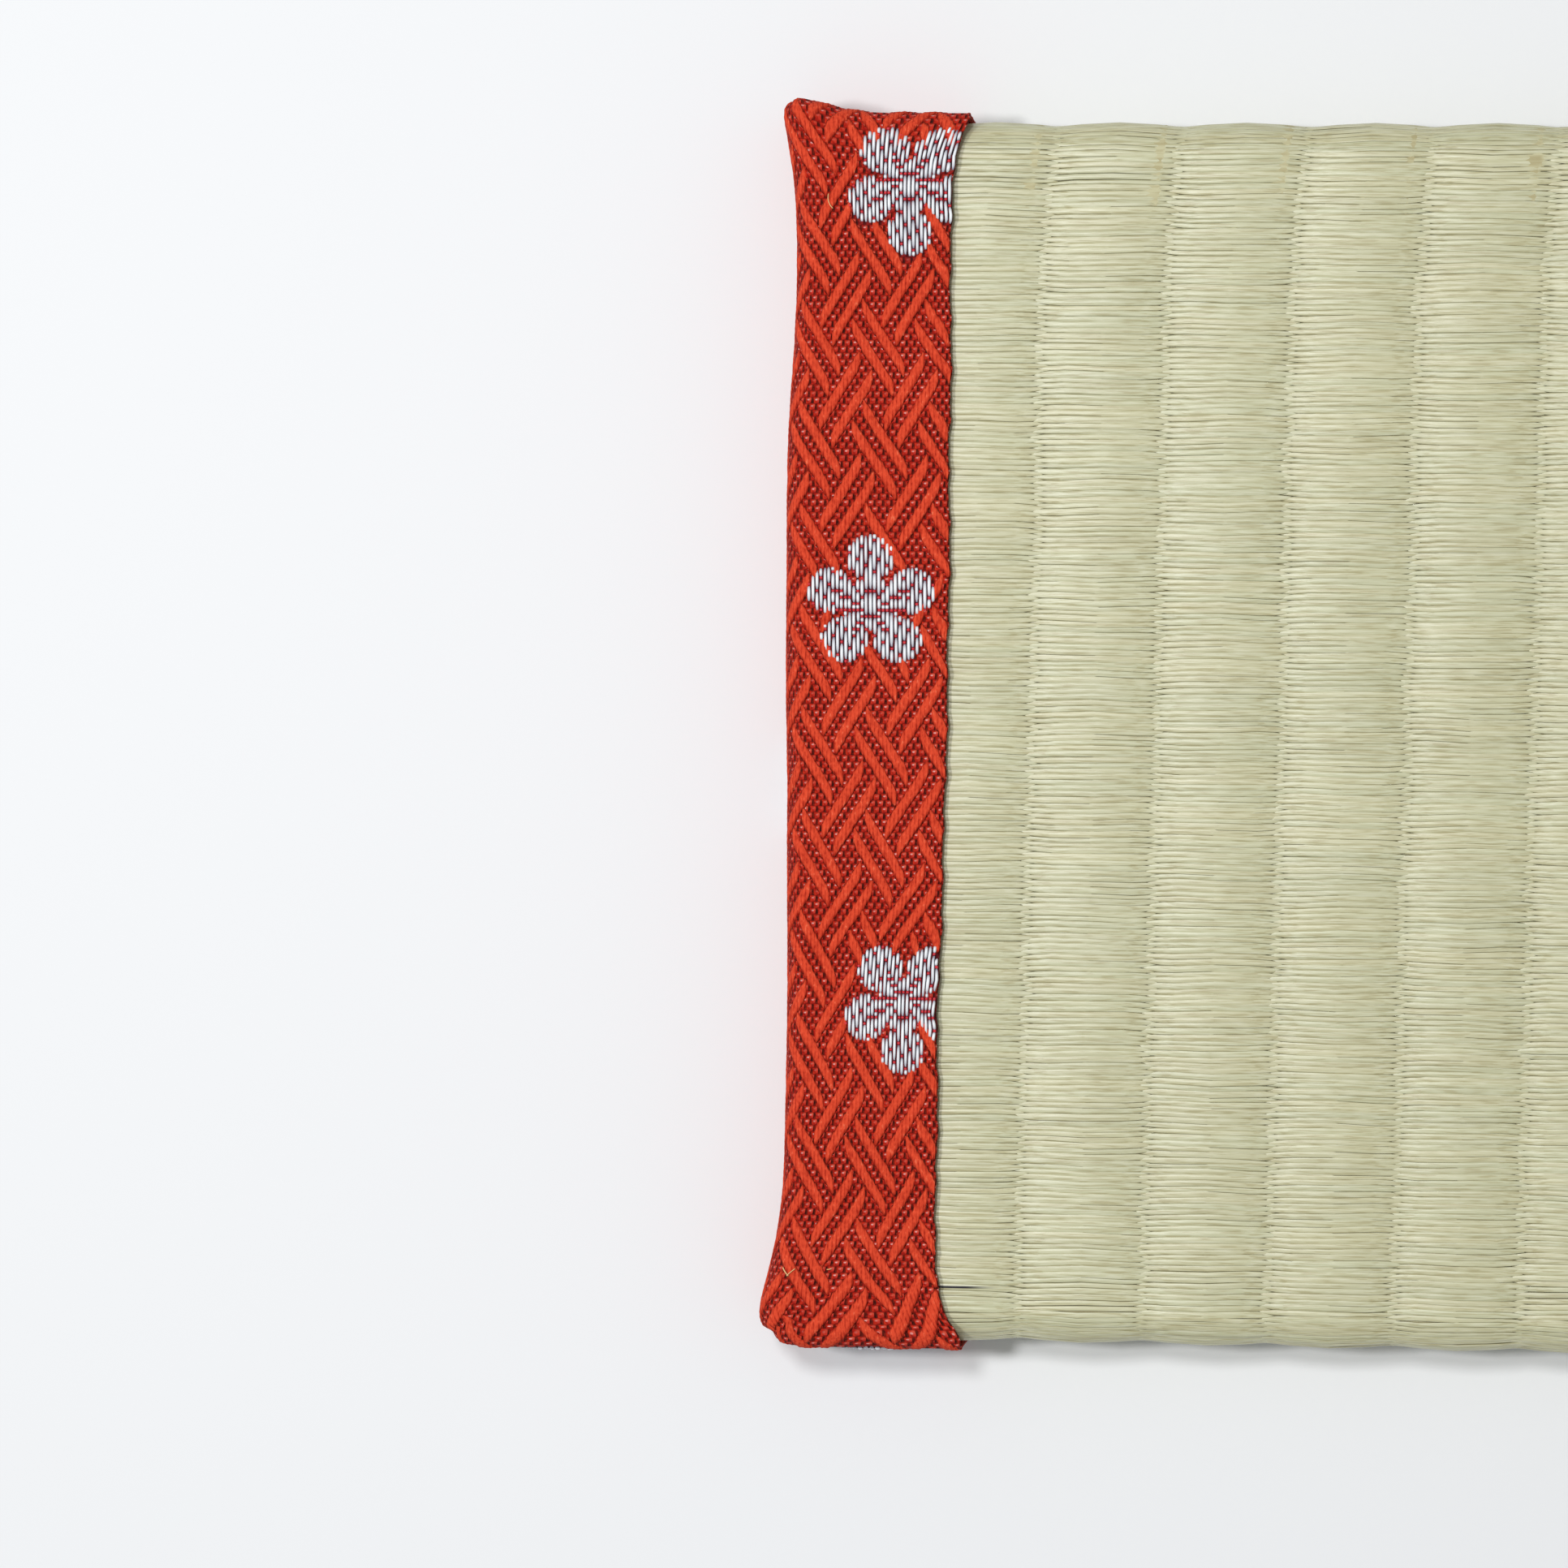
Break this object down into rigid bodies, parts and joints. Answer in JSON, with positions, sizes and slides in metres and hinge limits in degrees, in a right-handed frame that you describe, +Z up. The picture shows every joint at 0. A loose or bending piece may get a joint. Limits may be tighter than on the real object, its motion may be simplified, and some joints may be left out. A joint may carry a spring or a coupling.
{
  "type": "small tatami mat",
  "caption": "Small square tatami mat: a ribbed woven rush cover on a board, with a floral brocade border folded over each of two sides.",
  "frame": {"origin": "on the floor, under the middle of the mat", "axes": "+Z is up, out of the rush face; +X runs along the rushes from border to border; +Y runs along the borders and the ribs"},
  "size_m": [0.1556, 0.1558, 0.0154],
  "materials": {
    "woven_rush": "dry pale green rush stems with a soft sheen",
    "border_brocade": "vermilion brocade with raised lattice bars and silver white plum blossoms"
  },
  "bodies": {
    "root": {"rush_cover": "woven_rush", "border_left": "border_brocade", "border_right": "border_brocade"}
  },
  "joints": []
}
